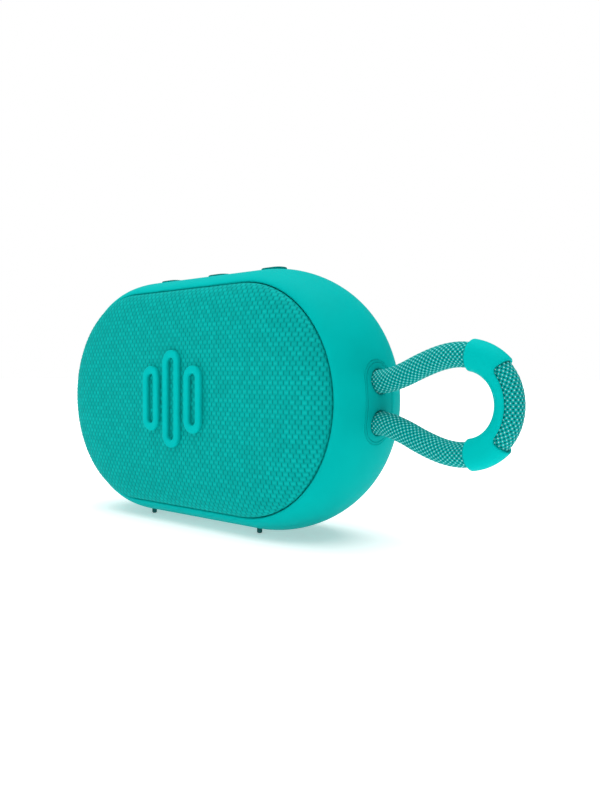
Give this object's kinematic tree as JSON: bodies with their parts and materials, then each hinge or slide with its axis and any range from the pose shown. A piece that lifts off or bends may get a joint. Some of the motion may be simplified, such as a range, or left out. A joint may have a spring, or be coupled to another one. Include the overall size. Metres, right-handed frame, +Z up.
{
  "type": "portable bluetooth speaker",
  "caption": "Pocket speaker: stadium-shaped barrel body, domed woven front with raised badge, top keys, feet and a braided hand strap with a rubber grip",
  "frame": {"origin": "on the surface the feet stand on, under the middle of the body without its strap", "axes": "+Z up; +X along the width, towards the strap; the woven front faces -Y"},
  "size_m": [0.1508, 0.0358, 0.0705],
  "materials": {
    "casing": "soft-touch matte with a very fine moulded grain",
    "woven_front": "coarse plain weave, slight sheen",
    "badge": "satin",
    "key_rubber": "matte",
    "grip_rubber": "matte",
    "flap_rubber": "matte",
    "rope": "two-tone braid",
    "strap_trim": "matte",
    "foot_rubber": "matte",
    "inner_plastic": "moulded, fine grain",
    "gasket_foam": "closed-cell foam",
    "steel": "zinc plated",
    "basket_metal": "pressed, dull",
    "ferrite": "sintered",
    "copper_coil": "enamelled winding",
    "cone_paper": "pressed fibre",
    "driver_rubber": "satin",
    "spider_cloth": "impregnated cloth",
    "radiator_plate": "painted",
    "cell_wrap": "shrink wrap",
    "board_green": "solder mask",
    "chip_black": "moulded",
    "clear_pipe": "frosted",
    "wire_sleeve": "gloss"
  },
  "bodies": {
    "housing": {"body_sleeve": "casing", "front_baffle": "inner_plastic", "baffle_gasket": "gasket_foam", "baffle_screws": "steel", "grille_frame": "inner_plastic", "grille_plate": "inner_plastic", "grille_fabric": "woven_front", "front_emblem": "badge", "driver_basket": "basket_metal", "driver_top_plate": "steel", "driver_magnet": "ferrite", "driver_yoke": "steel", "driver_surround": "driver_rubber", "driver_spider": "spider_cloth", "driver_screws": "steel", "rear_cover": "casing", "rear_gasket": "gasket_foam", "rear_screws": "steel", "passive_surround": "driver_rubber", "battery_cell": "cell_wrap", "battery_cradle": "inner_plastic", "battery_pads": "gasket_foam", "main_board": "board_green", "radio_module": "steel", "amplifier_chip": "chip_black", "usb_socket": "steel", "microphone": "steel", "light_pipe": "clear_pipe", "board_screws": "steel", "key_board": "board_green", "key_screws": "steel", "tact_switches": "steel", "feet": "foot_rubber", "strap_bezel": "strap_trim", "strap_plate": "strap_trim", "strap_anchor": "inner_plastic", "strap_ends": "rope", "speaker_wires": "wire_sleeve", "battery_wires": "wire_sleeve", "damping_foam": "gasket_foam"},
    "cone": {"driver_cone": "cone_paper", "dust_cap": "cone_paper", "voice_coil": "copper_coil"},
    "passive": {"passive_plate": "radiator_plate"},
    "key_minus": {"button_minus": "key_rubber", "plunger_minus": "chip_black"},
    "key_play": {"button_play": "key_rubber", "plunger_play": "chip_black"},
    "key_plus": {"button_plus": "key_rubber", "plunger_plus": "chip_black"},
    "flap": {"port_flap": "flap_rubber"},
    "strap": {"strap_cord": "rope", "strap_grip": "grip_rubber"}
  },
  "joints": [
    {"name": "strap_swing", "type": "hinge", "parent": "housing", "child": "strap", "pos_m": [0.0602, 0, 0.03515], "axis": [0, 0, 1], "range_deg": [-50, 50], "stiffness_Nm_per_rad": 0.02},
    {"name": "cone_travel", "type": "slide", "parent": "housing", "child": "cone", "axis": [0, -1, 0], "range_m": [-0.0015, 0.0015], "stiffness_N_per_m": 200, "deforming": ["driver_surround", "driver_spider"]},
    {"name": "passive_travel", "type": "slide", "parent": "housing", "child": "passive", "axis": [0, 1, 0], "range_m": [-0.0012, 0.0012], "stiffness_N_per_m": 200, "deforming": ["passive_surround"]},
    {"name": "key_minus_press", "type": "slide", "parent": "housing", "child": "key_minus", "axis": [0, 0, -1], "range_m": [0, 0.0005], "stiffness_N_per_m": 300},
    {"name": "key_play_press", "type": "slide", "parent": "housing", "child": "key_play", "axis": [0, 0, -1], "range_m": [0, 0.0005], "stiffness_N_per_m": 300},
    {"name": "key_plus_press", "type": "slide", "parent": "housing", "child": "key_plus", "axis": [0, 0, -1], "range_m": [0, 0.0005], "stiffness_N_per_m": 300},
    {"name": "port_flap_hinge", "type": "hinge", "parent": "housing", "child": "flap", "pos_m": [0.0292, 0.0165, 0.03515], "axis": [0, 0, 1], "range_deg": [0, 100]}
  ]
}
